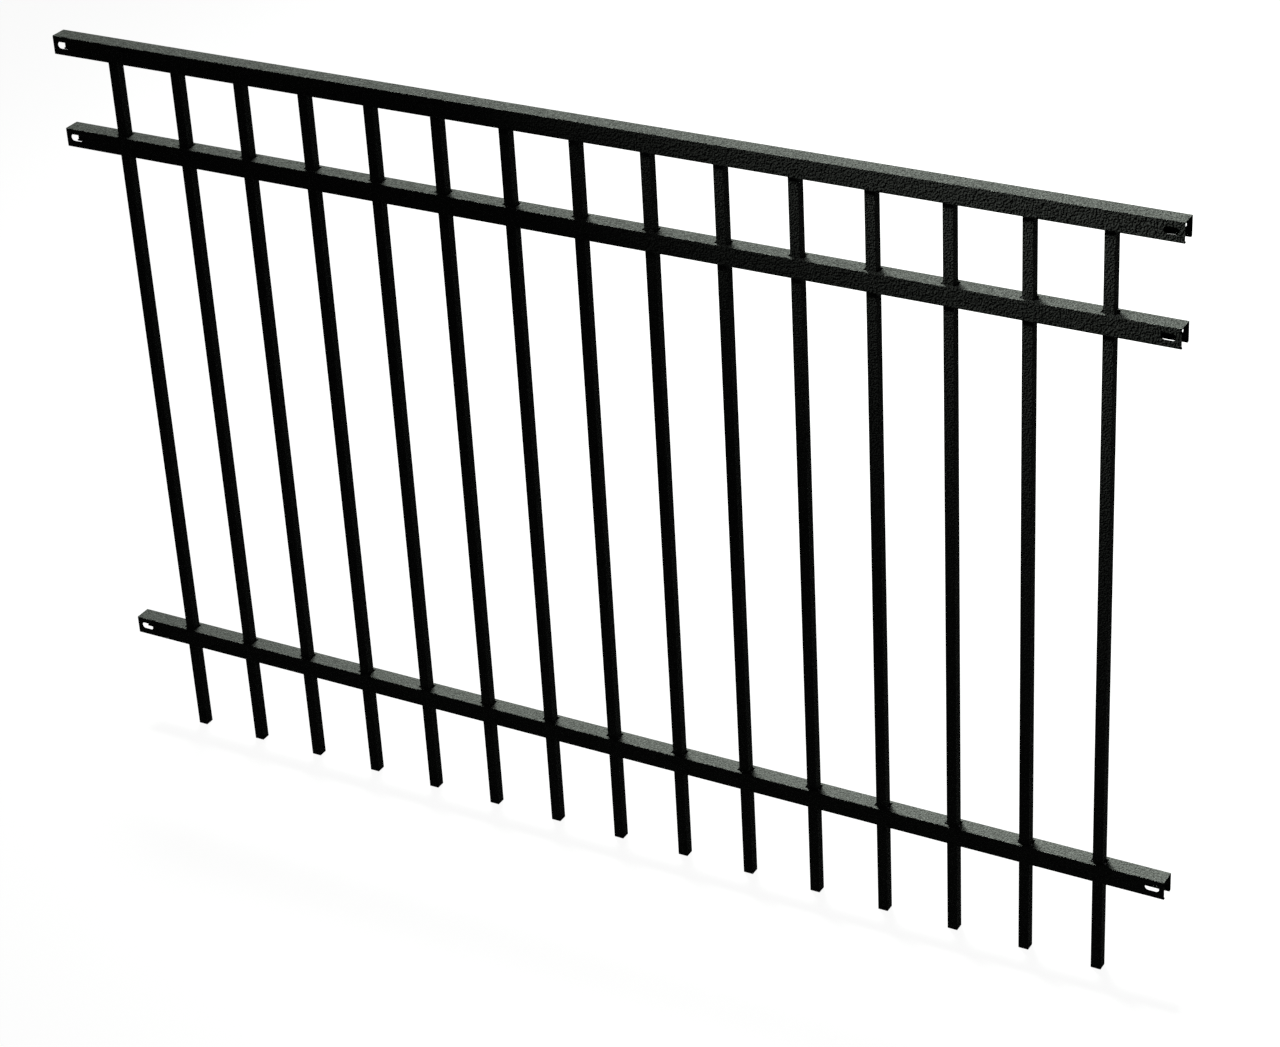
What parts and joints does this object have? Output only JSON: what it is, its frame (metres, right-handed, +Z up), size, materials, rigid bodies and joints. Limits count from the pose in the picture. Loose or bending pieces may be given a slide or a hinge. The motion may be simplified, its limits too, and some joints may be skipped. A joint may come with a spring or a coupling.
{
  "type": "aluminium fence panel",
  "caption": "Flat-topped black aluminium fence panel: square tube pickets pass through open-bottomed channel rails, with slotted rail ends for fixing between posts.",
  "frame": {"origin": "on the left end face of the top rail, in the middle of its width and half-way through its top wall", "axes": "+X along the rails from the left end, -Y out of the panel's front, +Z up along the pickets"},
  "size_m": [1.818, 0.028, 1.2192],
  "materials": {
    "black_rail_coat": "fine-textured black powder coat",
    "black_picket_coat": "fine-textured black powder coat",
    "rod_steel": "dark plated steel"
  },
  "bodies": {
    "root": {"top_rail": "black_rail_coat", "middle_rail": "black_rail_coat", "bottom_rail": "black_rail_coat", "top_retaining_rod": "rod_steel", "middle_retaining_rod": "rod_steel", "bottom_retaining_rod": "rod_steel", "picket_01": "black_picket_coat", "picket_02": "black_picket_coat", "picket_03": "black_picket_coat", "picket_04": "black_picket_coat", "picket_05": "black_picket_coat", "picket_06": "black_picket_coat", "picket_07": "black_picket_coat", "picket_08": "black_picket_coat", "picket_09": "black_picket_coat", "picket_10": "black_picket_coat", "picket_11": "black_picket_coat", "picket_12": "black_picket_coat", "picket_13": "black_picket_coat", "picket_14": "black_picket_coat", "picket_15": "black_picket_coat"}
  },
  "joints": []
}
